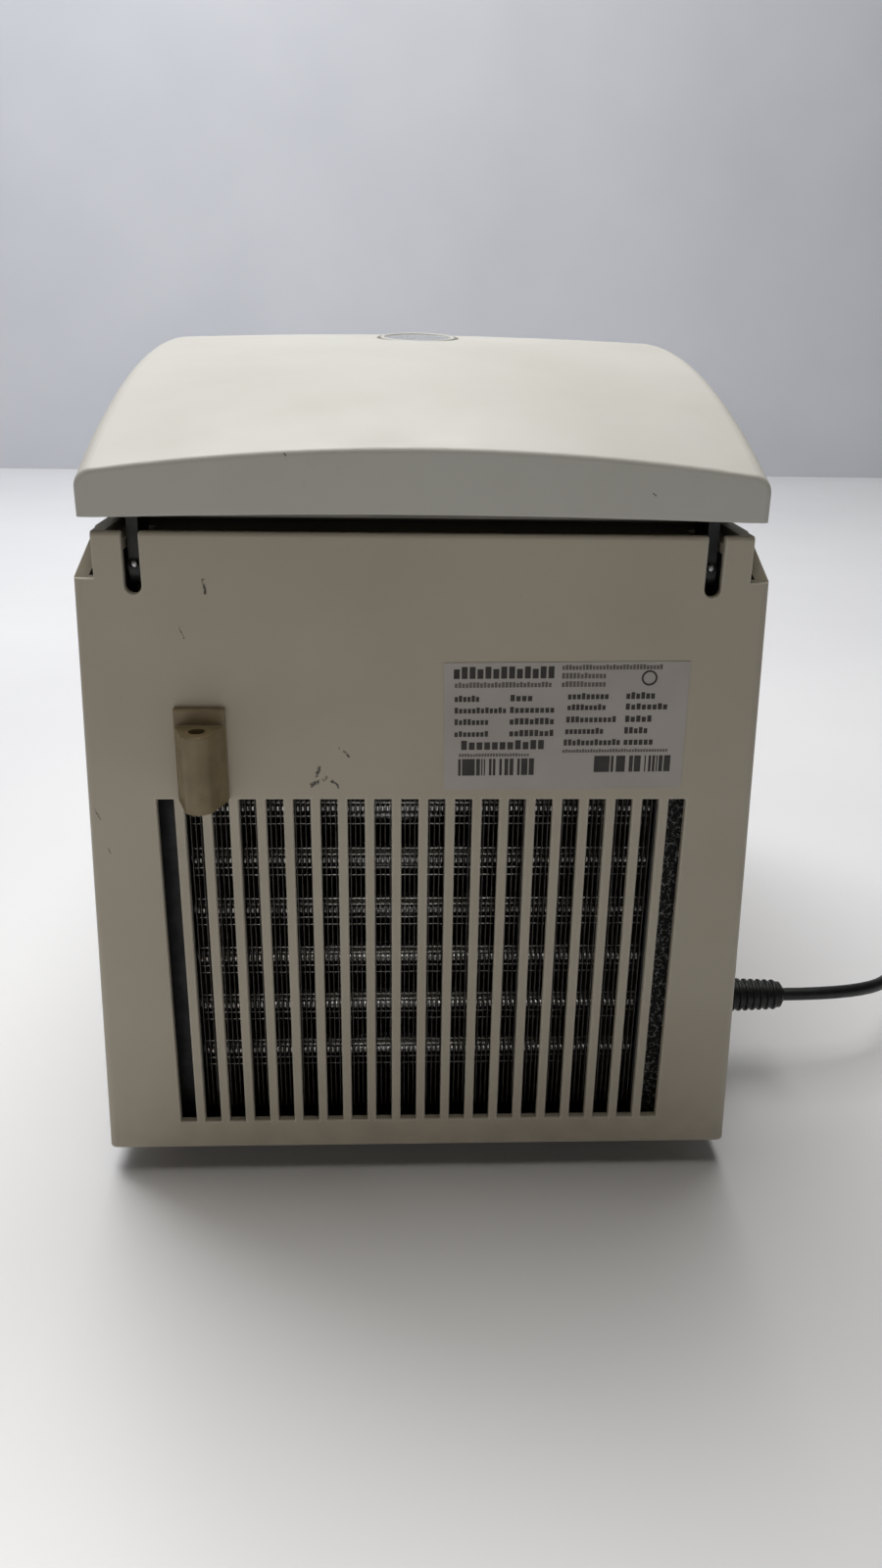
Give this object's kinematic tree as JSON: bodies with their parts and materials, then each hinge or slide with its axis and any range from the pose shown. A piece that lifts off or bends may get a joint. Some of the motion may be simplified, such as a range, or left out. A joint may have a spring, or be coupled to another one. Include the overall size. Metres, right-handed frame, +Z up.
{
  "type": "refrigerated microcentrifuge",
  "caption": "Refrigerated microcentrifuge: drafted housing with rear condenser grille, crowned hinged lid with round sight window, angle rotor in a cooled bowl, and mains cord.",
  "frame": {"origin": "on the bench, under the middle of the machine without its cord", "axes": "+Z up, front faces -Y, rear grille faces +Y, +X to the right seen from the front"},
  "size_m": [0.585, 0.459, 0.378],
  "materials": {
    "housing_plastic": "fine textured moulding, warm grey-white",
    "lid_plastic": "fine textured moulding, warm grey-white",
    "liner_plastic": "smooth grey moulding",
    "holder_plastic": "yellowed beige moulding",
    "label_film": "printed satin film",
    "steel_sheet": "zinc plated sheet",
    "dark_steel": "black zinc plate",
    "pin_steel": "turned steel",
    "stainless": "satin stainless",
    "foam": "open cell foam, dark",
    "insulation_foam": "moulded polyurethane foam",
    "copper": "drawn copper tube",
    "fin_aluminium": "thin fin stock, dusty",
    "rotor_aluminium": "anodised",
    "lid_aluminium": "anodised, satin",
    "black_plastic": "moulded, black",
    "motor_paint": "black paint, satin",
    "rubber_grey": "soft moulded rubber",
    "rubber_black": "soft moulded rubber",
    "board_green": "glass laminate with solder mask",
    "core_steel": "varnished laminations",
    "fascia_plastic": "printed film on moulding",
    "display_glass": "tinted display window",
    "window_glass": "clear polycarbonate",
    "key_grey": "moulded key",
    "key_green": "moulded key",
    "key_red": "moulded key",
    "cord_black": "flexible vinyl jacket"
  },
  "bodies": {
    "cabinet": {"housing": "housing_plastic", "base_tray": "steel_sheet", "wrench_holder": "holder_plastic", "rating_label": "label_film", "hinge_pins": "pin_steel", "latch_bracket": "steel_sheet", "latch_motor": "black_plastic", "bowl": "stainless", "bowl_insulation": "insulation_foam", "evaporator_coil": "copper", "drive_motor": "motor_paint", "rubber_mounts": "rubber_black", "motor_bracket": "steel_sheet", "condenser_fins": "fin_aluminium", "condenser_tubes": "copper", "condenser_frame": "dark_steel", "foam_strip": "foam", "fan_shroud": "black_plastic", "fan_motor": "motor_paint", "compressor": "motor_paint", "control_board": "board_green", "transformer": "core_steel", "power_bracket": "steel_sheet", "control_fascia": "fascia_plastic", "display_window": "display_glass", "keypad_board": "board_green", "mains_inlet": "black_plastic", "switch_frame": "black_plastic", "cord_connector": "cord_black", "cord_lead": "cord_black", "cord_coil": "cord_black", "cord_plug": "cord_black", "foot_1": "rubber_grey", "foot_2": "rubber_grey", "foot_3": "rubber_grey", "foot_4": "rubber_grey", "hinge_bracket_left": "dark_steel", "hinge_bracket_right": "dark_steel"},
    "lid": {"lid_shell": "lid_plastic", "lid_liner": "liner_plastic", "lid_gasket": "rubber_black", "lid_window": "window_glass", "window_bezel": "liner_plastic", "hinge_arm_left": "dark_steel", "hinge_arm_right": "dark_steel", "lid_striker": "pin_steel"},
    "rotor": {"rotor": "rotor_aluminium", "rotor_lid": "lid_aluminium", "drive_shaft": "pin_steel"},
    "rotor_knob": {"rotor_knob": "black_plastic"},
    "fan": {"fan": "black_plastic"},
    "latch_hook": {"latch_hook": "pin_steel"},
    "release_plug": {"release_plug": "liner_plastic"},
    "switch_rocker": {"switch_rocker": "black_plastic"},
    "key_open": {"key_open": "key_grey"},
    "key_quick": {"key_quick": "key_grey"},
    "key_up": {"key_up": "key_grey"},
    "key_down": {"key_down": "key_grey"},
    "key_stop": {"key_stop": "key_red"},
    "key_start": {"key_start": "key_green"}
  },
  "joints": [
    {"name": "lid_hinge", "type": "hinge", "parent": "cabinet", "child": "lid", "pos_m": [0, 0.1965, 0.29], "axis": [-1, 0, 0], "range_deg": [0, 78]},
    {"name": "rotor_spin", "type": "hinge", "parent": "cabinet", "child": "rotor", "pos_m": [0, 0.0175, 0.25], "axis": [0, 0, 1], "continuous": true},
    {"name": "knob_turn", "type": "hinge", "parent": "rotor", "child": "rotor_knob", "pos_m": [0, 0.0175, 0.295], "axis": [0, 0, 1], "range_deg": [0, 90]},
    {"name": "fan_spin", "type": "hinge", "parent": "cabinet", "child": "fan", "pos_m": [0, 0.128, 0.108], "axis": [0, 1, 0], "continuous": true},
    {"name": "latch_swing", "type": "hinge", "parent": "cabinet", "child": "latch_hook", "pos_m": [0, -0.17, 0.268], "axis": [1, 0, 0], "range_deg": [0, 20]},
    {"name": "release_pull", "type": "slide", "parent": "cabinet", "child": "release_plug", "axis": [1, 0, 0], "range_m": [0, 0.03]},
    {"name": "mains_switch", "type": "hinge", "parent": "cabinet", "child": "switch_rocker", "pos_m": [-0.136, 0.0815, 0.0435], "axis": [0, 1, 0], "range_deg": [0, 16]},
    {"name": "key_open_press", "type": "slide", "parent": "cabinet", "child": "key_open", "axis": [0, 0.9883, -0.1527], "range_m": [0, 0.0012], "stiffness_N_per_m": 400, "springref_m": -0.0004},
    {"name": "key_quick_press", "type": "slide", "parent": "cabinet", "child": "key_quick", "axis": [0, 0.9883, -0.1527], "range_m": [0, 0.0012], "stiffness_N_per_m": 400, "springref_m": -0.0004},
    {"name": "key_up_press", "type": "slide", "parent": "cabinet", "child": "key_up", "axis": [0, 0.9883, -0.1527], "range_m": [0, 0.0012], "stiffness_N_per_m": 400, "springref_m": -0.0004},
    {"name": "key_down_press", "type": "slide", "parent": "cabinet", "child": "key_down", "axis": [0, 0.9883, -0.1527], "range_m": [0, 0.0012], "stiffness_N_per_m": 400, "springref_m": -0.0004},
    {"name": "key_stop_press", "type": "slide", "parent": "cabinet", "child": "key_stop", "axis": [0, 0.9883, -0.1527], "range_m": [0, 0.0012], "stiffness_N_per_m": 400, "springref_m": -0.0004},
    {"name": "key_start_press", "type": "slide", "parent": "cabinet", "child": "key_start", "axis": [0, 0.9883, -0.1527], "range_m": [0, 0.0012], "stiffness_N_per_m": 400, "springref_m": -0.0004}
  ]
}
